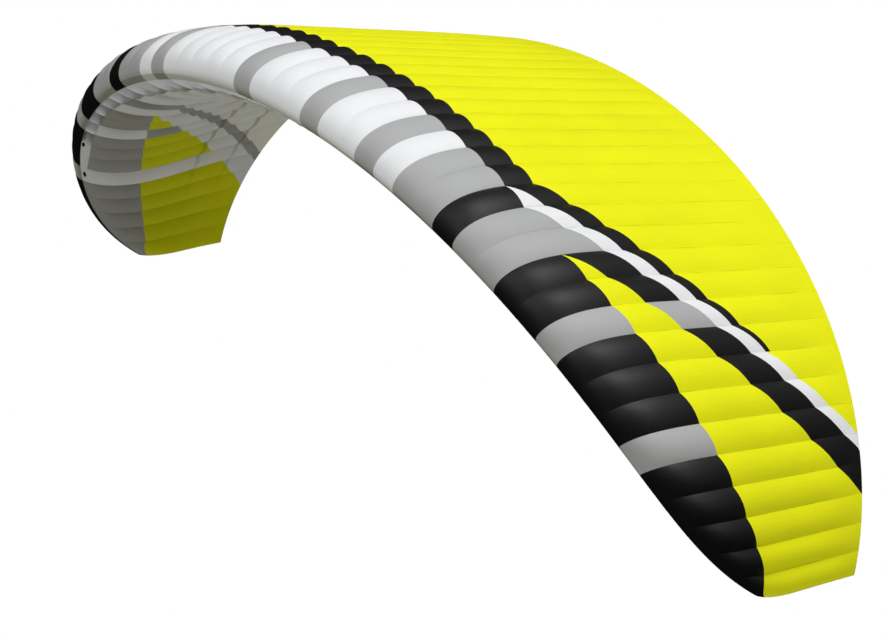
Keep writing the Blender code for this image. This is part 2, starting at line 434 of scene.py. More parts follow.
ORIGIN_HEIGHT = foil_height(-math.sqrt(ORIGIN_PLACE)) * ROOT_CHORD - TAIL_HALF * ORIGIN_PLACE
WING_SIZES = {
    "Half span": HALF_SPAN,
    "Root chord": ROOT_CHORD,
    "Origin": (0, ORIGIN_PLACE * ROOT_CHORD, ORIGIN_HEIGHT),
    "Upper billow": UPPER_BILLOW,
    "Lower billow": LOWER_BILLOW,
}


def shape_piece(name, mesh, tree, sizes, material, thickness):
    """Runs a tree on a mesh, gives the sheet its thickness, and keeps the result as a plain mesh.

    The thickness goes inwards, or outwards where it is negative.
    """
    piece = bpy.data.objects.new(name, mesh)
    bpy.context.scene.collection.objects.link(piece)
    maker = piece.modifiers.new("shape", "NODES")
    maker.node_group = tree
    sizes = {**sizes, "Material": material}
    for item in tree.interface.items_tree:
        if item.in_out == "INPUT" and item.name in sizes:
            maker[item.identifier] = sizes[item.name]
    if thickness:
        wall = piece.modifiers.new("thickness", "SOLIDIFY")
        wall.thickness = abs(thickness)
        wall.offset = math.copysign(1, -thickness)
    graph = bpy.context.evaluated_depsgraph_get()
    shaped = bpy.data.meshes.new_from_object(
        piece.evaluated_get(graph), preserve_all_data_layers=True, depsgraph=graph
    )
    piece.modifiers.clear()
    piece.data = shaped
    shaped.name = name
    shaped.shade_smooth()
    shaped.set_sharp_from_angle(angle=math.radians(SHARP_DEGREES))
    return piece


def linear(code):
    """An sRGB hex colour as linear red, green, blue and alpha."""
    channels = [int(code[i:i + 2], 16) / 255 for i in (1, 3, 5)]
    return (*(c / 12.92 if c <= 0.04045 else ((c + 0.055) / 1.055) ** 2.4 for c in channels), 1)


# Siliconised ripstop nylon 6.6, woven and then calendered and coated: a smooth, faintly glossy cloth whose
# grid of thicker threads, 5 mm apart, is drawn 25 mm apart and faint so that it shows at all from this far.
RIPSTOP_PITCH = 0.025
RIPSTOP_THREAD = 0.0025
STITCH_REACH = 0.005
# the hem's tint, partly its own tone and partly painted shade of the nose's underside, has a crisp upper edge
# round one rib, counted from the tip, and melts into painted shade away from it: ribs away, and half the
# width of the edge in stations
HEM_CRISP_RIB = 17
HEM_EDGE = ((2, 0.005), (5, 0.05))
# painted shade above the hem: the station where it ends, and its share of the hem's tint
HEM_SHADE_STATION = 0.02
HEM_SHADE = 0.35


def new_material(name):
    """An empty material and its node tree."""
    material = bpy.data.materials.new(name)
    material.use_nodes = True
    material.node_tree.nodes.clear()
    return material, material.node_tree


def thread_grid(tree, pattern, threads):
    """The grid of thicker threads, in their own tone on white cloth."""
    return add_node(
        tree, "ShaderNodeTexBrick", pattern, (1, 1, 1, 1), (1, 1, 1, 1), threads, 1.0, RIPSTOP_THREAD / 2,
        0.5, 0.0, RIPSTOP_PITCH, RIPSTOP_PITCH, offset=0.0,
    )


def shade_where(tree, tint, share, shade):
    """The tint, multiplied by a shade as far as the share goes."""
    mixed = add_node(
        tree, "ShaderNodeMix", share, (1, 1, 1, 1), linear(shade), data_type="RGBA", blend_type="MIX"
    )
    return vectors(tree, "MULTIPLY", tint, mixed)


def cloth_face(tree, tint, bump, roughness, gloss, ior=NYLON_IOR):
    """The surface of a cloth: gloss is the specular level."""
    face = add_node(tree, "ShaderNodeBsdfPrincipled", tint)
    for label, value in (("Roughness", roughness), ("IOR", ior), ("Specular IOR Level", gloss)):
        face.inputs[label].default_value = value
    tree.links.new(bump.outputs["Normal"], face.inputs["Normal"])
    return face


def ripstop(name, colour, roughness, gloss, glow, sheer=0.0, seam_dark=0.75, hem_and_shade="#FFFFFF", hem_and_painted_shadows=()):
    """gloss is the specular level, glow the share of light let through, sheer what goes straight on.

    seam_dark is the darkest tone along the rib seams, partly the stitched seam and partly painted shade of
    the crease that the stitches pull in; hem_and_shade tints the doubled hem at the lip, partly its own tone
    and partly painted shade of the nose's underside.
    hem_and_painted_shadows lists the lower skin's doubled front hem and the painted shadows of the straps and
    diagonals inside, seen through the cloth: zones of (attribute, middle, reach, soft edge) that overlap, and
    the tint where they do.
    """
    material, tree = new_material(name)
    pattern = add_node(tree, "ShaderNodeUVMap", uv_map="pattern")
    threads = thread_grid(tree, pattern, (0, 0, 0, 1))
    # the cloth's tone drifts a little over a panel, and the seam line is painted darker: partly the stitched
    # seam, partly painted shade of the crease where the stitches pull it in
    drift = add_node(tree, "ShaderNodeTexNoise", pattern, None, 1.6, 3.0, 0.55)
    tone = remap(tree, drift, 0.3, 0.7, 0.975, 1.02)
    station = add_node(tree, "ShaderNodeAttribute", attribute_name="station").outputs["Fac"]
    reach = maths(tree, "ABSOLUTE", station)
    pull = remap(tree, reach, 0.10, STIFF_NOSE_STATION, 0.3, 1.0)
    seam = add_node(tree, "ShaderNodeAttribute", attribute_name="seam")
    dash_scale = add_node(tree, "ShaderNodeMapping", pattern, (0, 0, 0), (0, 0, 0), (4.0, 1.3, 1))
    dashes = add_node(tree, "ShaderNodeTexNoise", dash_scale, None, 1.0, 2.0, 0.6)
    depth = remap(tree, dashes, 0.38, 0.66, 0.0, 1 - seam_dark)
    depth = maths(tree, "MULTIPLY", depth, pull)
    line = remap(tree, seam.outputs["Fac"], 0.0, STITCH_REACH, depth, 0.0)
    line = maths(tree, "SUBTRACT", 1.0, line)
    tone = maths(tree, "MULTIPLY", tone, line)
    tint = vectors(tree, "SCALE", linear(colour)[:3], tone)
    # the doubled hem at the lip is tinted darker, partly its own tone and partly painted shade of the nose's
    # underside
    from_tip = add_node(tree, "ShaderNodeAttribute", attribute_name="from_tip").outputs["Fac"]
    away = maths(tree, "SUBTRACT", from_tip, float(HEM_CRISP_RIB))
    away = maths(tree, "ABSOLUTE", away)
    (near, crisp), (far, soft) = HEM_EDGE
    edge = remap(tree, away, float(near), float(far), crisp, soft)
    below = maths(tree, "SUBTRACT", HEM_STATION, edge)
    above = maths(tree, "ADD", HEM_STATION, edge)
    hem_and_shade_share = remap(tree, station, below, above, 1.0, 0.0)
    # painted shade: the cloth just above the hem darkens towards it with some of the hem's tint, standing in
    # for the shade on the nose's underside
    shaded = remap(
        tree, station, HEM_STATION, HEM_SHADE_STATION, HEM_SHADE, 0.0, interpolation_type="SMOOTHSTEP"
    )
    hem_and_shade_share = maths(tree, "MAXIMUM", hem_and_shade_share, shaded)
    tint = shade_where(tree, tint, hem_and_shade_share, hem_and_shade)
    for zones, shade in hem_and_painted_shadows:
        zone_share = 1.0
        for label, middle, reach, soft in zones:
            place = add_node(tree, "ShaderNodeAttribute", attribute_name=label).outputs["Fac"]
            offset = maths(tree, "SUBTRACT", place, middle)
            offset = maths(tree, "ABSOLUTE", offset)
            inside = remap(tree, offset, reach - soft, reach + soft, 1.0, 0.0)
            zone_share = maths(tree, "MULTIPLY", inside, zone_share)
        tint = shade_where(tree, tint, zone_share, shade)
    # tension creases run along the chord beside the seams; the thread grid stands up a hair
    crease_scale = add_node(tree, "ShaderNodeMapping", pattern, (0, 0, 0), (0, 0, 0), (14, 3.0, 1))
    creases = add_node(tree, "ShaderNodeTexNoise", crease_scale, None, 1.0, 3.0, 0.5)
    creases = maths(tree, "MULTIPLY", creases, pull)
    grid = maths(tree, "MULTIPLY", threads.outputs["Fac"], 0.04)
    relief = maths(tree, "ADD", creases, grid)
    bump = add_node(tree, "ShaderNodeBump", 0.25, 0.004, None, relief)
    face = cloth_face(tree, tint, bump, roughness, gloss)
    through = add_node(tree, "ShaderNodeBsdfTranslucent", tint, bump)
    cloth = add_node(tree, "ShaderNodeMixShader", glow, face, through)
    if sheer:
        clear = add_node(tree, "ShaderNodeBsdfTransparent", linear(colour))
        cloth = add_node(tree, "ShaderNodeMixShader", sheer, cloth, clear)
    add_node(tree, "ShaderNodeOutputMaterial", cloth)
    return material


# the hem tints on the grey and white panels are partly the doubled hem's own tone and partly painted shade
SKINS = {
    "black": ripstop("siliconised_ripstop_black", "#0C0C0C", 0.56, 0.44, 0.02),
    "grey": ripstop("siliconised_ripstop_grey", "#B7B8B8", 0.6, 0.2, 0.2, hem_and_shade="#BEBEAC"),
    "white": ripstop("siliconised_ripstop_white", "#F2F3F5", 0.6, 0.2, 0.25, hem_and_shade="#C8C8BA"),
    "yellow": ripstop("siliconised_ripstop_yellow", "#F2F316", 0.6, 0.12, 0.2),
}


def add_skin(name, strips, material, nodes):
    """One cloth of the skin: cut, inflated and attached to the wing, with the parts it replaces hidden."""
    pattern = cut_cloth(name, strips)
    piece = shape_piece(name, pattern, INFLATED_SKIN, WING_SIZES, material, CLOTH_THICKNESS)
    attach(piece, "root")
    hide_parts(*nodes)


nose_colours = [colour for colour, count in NOSE_RUNS for cell in range(count)]
lip = -math.sqrt(LIP)
for colour, bays in (("black", (1, 2, 3, 8, 9, 10)), ("grey", (4, 7)), ("white", (5, 6))):
    nose_strips = [
        (cell, (lip, lip), (nose_seam(cell), nose_seam(cell + 1)), NOSE_COLUMNS)
        for cell in range(CELL_COUNT) if nose_colours[cell] == colour
    ]
    add_skin(
        f"nose_panels_{colour}", nose_strips, SKINS[colour],
        [f"nose_panel_{bay:02d}" for bay in bays],
    )

# ================================================
# Upper skin. Behind the nose seam each cell's top panel is pieced from straight-cut bands of the same
# coated ripstop: yellow wedge, black or grey band, white stripe, black band, then the wide yellow field
# to the trailing edge. The bands are joined by flat seams before the panel is sewn to the ribs.
# ================================================
# rear edge of each band: metres behind the root's nose at mid-span, per metre of span, and the first rib
# where it shows
WEDGE_REAR = (-1.808, 0.851, 39)
SECOND_BAND_REAR = (-1.512, 0.855, 36)
STRIPE_REAR = (-1.263, 0.826, 35)
BLACK_BAND_REAR_LINES = ((0.747, 0.063), (-0.725, 0.699))
BLACK_BAND_LAST_RIB = 42
GREY_SECOND_BANDS = (37, 38, 41)
BAND_COLUMNS = 8
# a band narrower than this, in stations, is left out of a cell
NARROWEST_BAND = 1e-4
FIELD_COLUMNS = 44


def mirrored_rib(rib):
    """The rib counted as if it were on the right half."""
    return max(rib, CELL_COUNT - rib)


def band_edge(rib, edge):
    """Station of a band's rear edge at a rib, never ahead of the nose seam."""
    offset, slope, first_rib = edge
    if mirrored_rib(rib) < first_rib:
        return nose_seam(rib)
    return max(nose_seam(rib), station_at(RIBS[rib], offset + slope * abs(RIBS[rib]) * HALF_SPAN))


upper_strips = {"yellow": [], "black": [], "grey": [], "white": []}
for cell in range(CELL_COUNT):
    right_cell = max(cell + 1, CELL_COUNT - cell)
    sides = (cell, cell + 1)
    seam = tuple(nose_seam(rib) for rib in sides)
    wedge = tuple(band_edge(rib, WEDGE_REAR) for rib in sides)
    second = tuple(band_edge(rib, SECOND_BAND_REAR) for rib in sides)
    stripe = tuple(band_edge(rib, STRIPE_REAR) for rib in sides)
    black = stripe
    if right_cell <= BLACK_BAND_LAST_RIB:
        black = tuple(
            max(edge, station_at(RIBS[rib], seam_back(BLACK_BAND_REAR_LINES, RIBS[rib])))
            for rib, edge in zip(sides, stripe)
        )
    second_colour = "grey" if right_cell in GREY_SECOND_BANDS else "black"
    for colour, start, end, columns in (
        ("yellow", seam, wedge, BAND_COLUMNS), (second_colour, wedge, second, BAND_COLUMNS),
        ("white", second, stripe, BAND_COLUMNS), ("black", stripe, black, BAND_COLUMNS),
        ("yellow", black, (1.0, 1.0), FIELD_COLUMNS),
    ):
        if max(e - s for s, e in zip(start, end)) > NARROWEST_BAND and min(start) < 1:
            upper_strips[colour].append((cell, start, end, columns))

UPPER_BAYS = {"yellow": (1, 2, 3, 8, 9, 10), "white": (4, 7), "black": (5,), "grey": (6,)}
for colour, strips in upper_strips.items():
    add_skin(
        f"upper_skin_{colour}", strips, SKINS[colour],
        [f"upper_panel_{bay:02d}" for bay in UPPER_BAYS[colour]],
    )

# ================================================
# Lower skin. The bottom panels run from behind the air intakes to the trailing edge, of a lighter and
# slightly sheer ripstop: off-white in the middle, a grey stripe, a yellow wedge and dark grey fronts
# towards the tips. The five outermost cells on each side have no intake, so there it starts at the lip.
# ================================================
CLOSED_CELLS = 5
COVERED_CELLS = (6, 7, 8)
# rear edges of the covers at the ribs from the closed cells inwards: they taper towards the tip
COVER_BACKS = (LIP, 0.042, 0.05, 0.05)
# each band is cut straighter than its stripe runs, by this share, so that the edges step a little at the ribs
BAND_STEP = 0.08
FRONT_ZONE_REAR = (-0.225, 0.318)
YELLOW_WEDGE_REAR = (-1.785, 0.851)
GREY_STRIPE_FRONT = (-1.560, 0.865)
GREY_STRIPE_REAR = (-1.406, 0.856)
# cells counted from the tip inwards
DARK_FRONT_CELLS = (1, 2, 3, 4, 5, 7, 8, 9, 11, 12)
LIGHT_CELL = 6
PALE_FRONT_CELL = 10
YELLOW_FIRST_CELLS = 12
GREY_CELL = 14
LOWER_COLUMNS = 16
COVER_COLUMNS = 4

# painted shadows of the straps and diagonals inside the wing, seen through the thin cloth, and the doubled
# front hem, as zones of chord fraction, of metres behind the intake, of the share of a cell away from a rib
# with lines, and of ribs away from mid-span
STRAP_PLACES = (0.59, 0.80)
STRAP_SHADOW_ZONE = 0.011
FRONT_HEM = 0.010
DIAGONAL_SHADE_ROWS = ((0.115, 0.055), (0.300, 0.055), (0.495, 0.050))
OPEN_SPAN = ("from_tip", 25, 16.5, 0.5)
STRAP_SHADOW_SPAN = ("from_tip", 25, 20.0, 2.0)
DIAGONAL_SHADE_SPAN = ("from_tip", 25, 14.0, 4.0)
HEM_AND_PAINTED_SHADOWS = [
    ((OPEN_SPAN, ("behind_intake", FRONT_HEM / 2, FRONT_HEM / 2, 0.003)), "#E8E8DE"),
    # painted shadows of the two straps, seen through the cloth
    *(((STRAP_SHADOW_SPAN, ("back", place, STRAP_SHADOW_ZONE, 0.006)), "#D8D8C8") for place in STRAP_PLACES),
    # painted shadows of the diagonals, seen through the cloth
    *(
        ((DIAGONAL_SHADE_SPAN, ("back", middle, reach, 0.025), ("off_line_rib", 0.0, 0.30, 0.30)), "#DEDECE")
        for middle, reach in DIAGONAL_SHADE_ROWS
    ),
]

LOWER_SKINS = {
    "white": ripstop("thin_ripstop_off_white", "#DEDEDD", 0.6, 0.15, 0.4, 0.22, 0.7, hem_and_painted_shadows=HEM_AND_PAINTED_SHADOWS),
    "yellow": ripstop("thin_ripstop_yellow", "#CFCF09", 0.6, 0.15, 0.35, 0.15, 0.7, hem_and_painted_shadows=HEM_AND_PAINTED_SHADOWS),
    "grey": ripstop("thin_ripstop_grey", "#A5A5A1", 0.6, 0.15, 0.35, 0.15, 0.7, hem_and_painted_shadows=HEM_AND_PAINTED_SHADOWS),
    "dark_grey": ripstop("thin_ripstop_dark_grey", "#9F9F99", 0.6, 0.15, 0.3, 0.15, 0.7, hem_and_painted_shadows=HEM_AND_PAINTED_SHADOWS),
}


def under(ribs, line):
    """Stations on the underside of a band's edge at the two ribs of a cell, along a straight line."""
    ends = [-station_at(RIBS[rib], line[0] + line[1] * abs(RIBS[rib]) * HALF_SPAN) for rib in ribs]
    return tuple(end + (sum(ends) / 2 - end) * BAND_STEP for end in ends)


def front_edge(rib):
    """Station of the lower skin's front edge at a rib: behind the intake, behind its cover, or at the lip."""
    ribs_from_tip = min(rib, CELL_COUNT - rib)
    cover = ribs_from_tip - CLOSED_CELLS
    if cover < 0:
        back = LIP
    elif cover < len(COVER_BACKS):
        back = COVER_BACKS[cover]
    else:
        back = INTAKE_BACKS[rib]
    return -math.sqrt(back)


lower_strips = {"white": [], "yellow": [], "grey": [], "dark_grey": []}
for cell in range(CELL_COUNT):
    from_tip = min(cell + 1, CELL_COUNT - cell)
    sides = (cell, cell + 1)
    fronts = tuple(front_edge(rib) for rib in sides)
    if from_tip in COVERED_CELLS:
        lower_strips["white"].append((cell, fronts, (lip, lip), COVER_COLUMNS))
    zone = tuple(map(min, fronts, under(sides, FRONT_ZONE_REAR)))
    wedge = tuple(map(min, zone, under(sides, YELLOW_WEDGE_REAR)))
    stripe_front = under(sides, GREY_STRIPE_FRONT)
    stripe_rear = under(sides, GREY_STRIPE_REAR)
    tail = (-1.0, -1.0)
    stripe_and_tail = (("grey", stripe_front, stripe_rear), ("white", stripe_rear, tail))
    if from_tip > GREY_CELL:
        bands = (("white", fronts, tail),)
    elif from_tip == GREY_CELL:
        bands = (("grey", fronts, stripe_rear), ("white", stripe_rear, tail))
    elif from_tip > YELLOW_FIRST_CELLS or from_tip == LIGHT_CELL:
        bands = (("white", fronts, stripe_front), *stripe_and_tail)
    else:
        bands = (
            ("dark_grey" if from_tip in DARK_FRONT_CELLS else "white", fronts, zone),
            ("grey" if from_tip == PALE_FRONT_CELL else "yellow", zone, wedge),
            ("white", wedge, stripe_front),
            *stripe_and_tail,
        )
    for colour, start, end in bands:
        if max(s - e for s, e in zip(start, end)) > NARROWEST_BAND and max(start) > -1:
            lower_strips[colour].append((cell, end, start, LOWER_COLUMNS))

LOWER_BAYS = {"white": (4, 5, 6, 7), "yellow": (1, 2, 9, 10), "grey": (3,), "dark_grey": (8,)}
for colour, strips in lower_strips.items():
    add_skin(
        f"lower_skin_{colour}", strips, LOWER_SKINS[colour],
        [f"lower_panel_{bay:02d}" for bay in LOWER_BAYS[colour]],
    )

# ================================================
# Vents. The three cells next to the closed tip have their intake covered; two of the covers hold an oval
# vent of black mesh cloth, sewn on flat.
# ================================================
# half length along the wing, and half width along the chord
VENT_SIZE = (0.036, 0.013)
# cell and its place across it, counted from the left tip, and place along the chord
VENTS = ((7, 0.80, 0.0245), (5, 0.54, 0.0305))
VENT_CLOTH = 0.002
VENT_RINGS = 4
VENT_SIDES = 24
MESH_IOR = 1.5


def cut_vents(name):
    """Oval patches that follow the lower skin, on both halves of the wing."""
    points = []
    faces = []
    for tip_cell, across, back in VENTS:
        for cell, share in ((tip_cell, across), (CELL_COUNT - 1 - tip_cell, 1 - across)):
            left, right = RIBS[cell], RIBS[cell + 1]
            width = (right - left) * HALF_SPAN
            middle = left + (right - left) * share
            chord = chord_at(middle)[1]
            slope = math.hypot(1, LOWER_WEIGHTS[0] / 2 / math.sqrt(back))
            first = len(points)
            for ring in range(VENT_RINGS):
                reach = (ring + 1) / VENT_RINGS
                for side in range(VENT_SIDES):
                    angle = 2 * math.pi * side / VENT_SIDES
                    span = middle + reach * VENT_SIZE[0] * math.cos(angle) / HALF_SPAN
                    place = back + reach * VENT_SIZE[1] * math.sin(angle) / chord / slope
                    points.append((span, -math.sqrt(place), (span - left) / (right - left), width))
            centre = len(points)
            points.append((middle, -math.sqrt(back), share, width))
            for side in range(VENT_SIDES):
                after = (side + 1) % VENT_SIDES
                faces.append((centre, first + after, first + side))
                for ring in range(VENT_RINGS - 1):
                    inner, outer = first + ring * VENT_SIDES, first + (ring + 1) * VENT_SIDES
                    faces.append((inner + side, inner + after, outer + after, outer + side))
    return pattern_mesh(name, points, faces)


def mesh_cloth():
    """Black warp-knitted mesh: dull, with its 1 mm holes drawn 4 mm apart so that they show at all."""
    material, tree = new_material("black_mesh_cloth")
    pattern = add_node(tree, "ShaderNodeUVMap", uv_map="pattern")
    cells = add_node(tree, "ShaderNodeTexVoronoi", pattern, None, 250.0)
    cells.inputs["Randomness"].default_value = 0.2
    tone = remap(tree, cells.outputs["Distance"], 0.1, 0.5, 0.2, 1.0)
    tint = vectors(tree, "SCALE", linear("#0B0B0B")[:3], tone)
    bump = add_node(tree, "ShaderNodeBump", 0.3, 0.001, None, cells.outputs["Distance"])
    add_node(tree, "ShaderNodeOutputMaterial", cloth_face(tree, tint, bump, 0.8, 0.1, MESH_IOR))
    return material


vent_pattern = cut_vents("vents")
vents = shape_piece("vents", vent_pattern, INFLATED_SKIN, WING_SIZES, mesh_cloth(), -VENT_CLOTH)
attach(vents, "root")

# ================================================
# Ribs. 51 airfoil walls stand between the cells and hold the skins apart; every skin seam is sewn to one.
# Pale hard-coated nylon, stiffer than the skins, hot-cut with a row of holes that let the air pass between
# cells; the outermost rib at each tip is whole and keeps the air in.
# ================================================
RIB_INSET = 0.0012
RIB_STEPS = 80
RIB_TAIL_STATION = 0.997
RIB_HOLE_SIDES = 20
# holes: middle and half length as fractions of the chord, and the share of the rib's depth
RIB_HOLES = (
    (0.095, 0.019, 0.50), (0.160, 0.023, 0.52), (0.225, 0.022, 0.52), (0.285, 0.021, 0.54),
    (0.345, 0.021, 0.56), (0.405, 0.021, 0.58), (0.460, 0.019, 0.58), (0.520, 0.021, 0.56),
    (0.645, 0.038, 0.42), (0.735, 0.030, 0.42),
)


def skin_heights(tree, station):
    """Heights of the upper and the lower skin at a station, in fractions of the chord."""
    minus = maths(tree, "MULTIPLY", station, -1.0)
    return [use_group(tree, AIRFOIL, s).outputs["Height"] for s in (station, minus)]


def inside_group():
    """A place inside the wing to its position: lift is 0 on the lower skin and 1 on the upper one."""
    tree, given = new_tree(
        "inside",
        [("Span", FLOAT), ("Back", FLOAT), ("Lift", FLOAT), ("Inset", FLOAT), ("Root chord", FLOAT),
         ("Half span", FLOAT), ("Origin", VECTOR)],
        [("Position", VECTOR), ("Flat", VECTOR)],
    )
    blank = use_group(tree, RIB_PLANE, given["Span"], 0.0, 0.0, 0.0, given["Root chord"])
    inset = maths(tree, "DIVIDE", given["Inset"], blank.outputs["Chord"])
    # from nose and tail the cloth keeps the same inset as from the skins
    spread = maths(tree, "MULTIPLY_ADD", given["Back"], -2.0, 1.0)
    back = maths(tree, "MULTIPLY_ADD", spread, inset, given["Back"])
    station = maths(tree, "SQRT", back)
    upper, lower = skin_heights(tree, station)
    upper = maths(tree, "SUBTRACT", upper, inset)
    lower = maths(tree, "ADD", lower, inset)
    height = remap(tree, given["Lift"], 0.0, 1.0, lower, upper)
    side = remap(tree, given["Lift"], 0.0, 1.0, -1.0, 1.0)
    place = use_group(tree, RIB_PLANE, given["Span"], back, height, side, given["Root chord"])
    position = use_group(tree, ARCHED_SPAN, given["Span"], place, given["Half span"], given["Origin"])
    along = maths(tree, "MULTIPLY", back, blank.outputs["Chord"])
    up = maths(tree, "MULTIPLY", height, blank.outputs["Chord"])
    flat = add_node(tree, "ShaderNodeCombineXYZ", along, up)
    add_node(tree, "NodeGroupOutput", position, flat)
    return tree


INSIDE = inside_group()


def lay_inside(tree, given, cloth, span, back, lift):
    """Puts a cloth in its place inside the wing, and keeps its flat metres as the pattern's UV map."""
    placed = use_group(
        tree, INSIDE, span, back, lift, given["Inset"], given["Root chord"], given["Half span"],
        given["Origin"],
    )
    cloth = add_node(
        tree, "GeometryNodeStoreNamedAttribute", cloth, None, "pattern", placed.outputs["Flat"],
        data_type="FLOAT2", domain="CORNER",
    )
    finish_cloth(tree, cloth, placed.outputs["Position"], given["Material"])


INSIDE_INPUTS = [
    ("Places", GEOMETRY), ("Half span", FLOAT), ("Root chord", FLOAT), ("Origin", VECTOR), ("Inset", FLOAT),
    ("Material", MATERIAL),
]


def rib_tree():
    """Cuts an airfoil panel with holes and a whole one, and sets a copy at every point of the seam line."""
    tree, given = new_tree("ribs", INSIDE_INPUTS, [("Cloth", GEOMETRY)])
    index = add_node(tree, "GeometryNodeInputIndex")
    ends = (-RIB_TAIL_STATION, RIB_TAIL_STATION)
    station = remap(tree, index, 0.0, 2.0 * RIB_STEPS, *ends)
    foil = use_group(tree, AIRFOIL, station)
    flat = add_node(tree, "ShaderNodeCombineXYZ", foil.outputs["Back"], foil.outputs["Height"])
    outline = add_node(tree, "GeometryNodeMeshLine", 2 * RIB_STEPS + 1)
    outline = add_node(tree, "GeometryNodeSetPosition", outline, None, flat)
    outline = add_node(tree, "GeometryNodeMeshToCurve", outline)
    outline = add_node(tree, "GeometryNodeSetSplineCyclic", outline, None, True)
    cuts = [outline]
    for middle, reach, share in RIB_HOLES:
        top, bottom = foil_height(math.sqrt(middle)), foil_height(-math.sqrt(middle))
        circle = add_node(tree, "GeometryNodeCurvePrimitiveCircle", RIB_HOLE_SIDES)
        centre = (middle, (top + bottom) / 2, 0)
        cuts.append(add_node(
            tree, "GeometryNodeTransform", circle, centre, None, (reach, share * (top - bottom) / 2, 1)
        ))
    joined = add_node(tree, "GeometryNodeJoinGeometry")
    for cut in cuts:
        tree.links.new(cut.outputs[0], joined.inputs[0])
    pierced = add_node(tree, "GeometryNodeFillCurve", joined, mode="TRIANGLES")
    whole = add_node(tree, "GeometryNodeFillCurve", outline, mode="TRIANGLES")
    at_tip, = read(tree, "at_tip")
    between = maths(tree, "SUBTRACT", 1.0, at_tip)
    copies = add_node(tree, "GeometryNodeJoinGeometry")
    for chosen, panel in ((between, pierced), (at_tip, whole)):
        panels = add_node(tree, "GeometryNodeInstanceOnPoints", given["Places"], chosen, panel)
        tree.links.new(panels.outputs[0], copies.inputs[0])
    ribs = add_node(tree, "GeometryNodeRealizeInstances", copies)
    # each point of a panel as a share of the rib's depth there
    place = add_node(tree, "ShaderNodeSeparateXYZ", add_node(tree, "GeometryNodeInputPosition"))
    upper, lower = skin_heights(tree, maths(tree, "SQRT", place.outputs["X"]))
    lift = remap(tree, place.outputs["Y"], lower, upper, 0.0, 1.0)
    for label, value in (("back", place.outputs["X"]), ("lift", lift)):
        ribs = add_node(tree, "GeometryNodeStoreNamedAttribute", ribs, None, label, value)
    lay_inside(tree, given, ribs, *read(tree, "span", "back", "lift"))
    return tree


def set_out(name, columns):
    """A mesh of bare points that carries one number of each column."""
    count = len(next(iter(columns.values())))
    mesh = bpy.data.meshes.new(name)
    mesh.from_pydata([(0, 0, 0)] * count, [], [])
    for label, values in columns.items():
        mesh.attributes.new(label, "FLOAT", "POINT").data.foreach_set("value", np.array(values, np.float32))
    return mesh


# hard-coated nylon: matt and pale, with the same thread grid; it is sewn flat, so it has no billow or creases
def rib_cloth(name, colour, glow):
    material, tree = new_material(name)
    pattern = add_node(tree, "ShaderNodeUVMap", uv_map="pattern")
    threads = thread_grid(tree, pattern, (0.94, 0.94, 0.94, 1))
    drift = add_node(tree, "ShaderNodeTexNoise", pattern, None, 3.0, 3.0, 0.55)
    tone = remap(tree, drift, 0.3, 0.7, 0.96, 1.02)
    tone = vectors(tree, "SCALE", threads.outputs["Color"], tone)
    tint = vectors(tree, "MULTIPLY", linear(colour)[:3], tone)
    bump = add_node(tree, "ShaderNodeBump", 0.2, 0.002, None, threads.outputs["Fac"])
    face = cloth_face(tree, tint, bump, 0.7, 0.2)
    through = add_node(tree, "ShaderNodeBsdfTranslucent", tint)
    cloth = add_node(tree, "ShaderNodeMixShader", glow, face, through)
    add_node(tree, "ShaderNodeOutputMaterial", cloth)
    return material


INNER_SIZES = {key: WING_SIZES[key] for key in ("Half span", "Root chord", "Origin")} | {"Inset": RIB_INSET}
INNER_CLOTH = rib_cloth("hard_coated_nylon_white", "#E8E8EA", 0.4)


def add_inner(name, places, tree, nodes=()):
    """One kind of inner cloth: laid inside the wing and attached to it, with the parts it replaces hidden."""
    piece = shape_piece(name, places, tree, INNER_SIZES, INNER_CLOTH, 0)
    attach(piece, "root")
    if nodes:
        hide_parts(*nodes)


seam_line = set_out("seam_line", {"span": RIBS, "at_tip": [from_tip == 0 for from_tip in RIBS_FROM_TIP]})
add_inner(
    "ribs", seam_line, rib_tree(),
    [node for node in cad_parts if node.startswith("rib_")],
)

# ================================================
# Diagonals and straps. V-shaped half-ribs rise from the foot of each rib that carries lines to the top of
# its two neighbours, in three rows along the chord; two flat straps tie the ribs together above the lower
# skin. All of the same pale hard-coated nylon, sewn to the ribs.
# ================================================
LINE_RIB_STEP = 2
# diagonals: front and rear as fractions of the chord
DIAGONAL_ROWS = ((0.022, 0.150), (0.250, 0.350), (0.450, 0.540))
FIRST_DIAGONAL_RIB = 4
STRAP_WIDTH = 0.04
STRAP_LIFT = 0.03
STRIP_WAIST = 0.35
STRIP_GRID = (9, 7)
STRIP_COLUMNS = ("span", "far_span", "lift", "far_lift", "front", "rear", "waist")


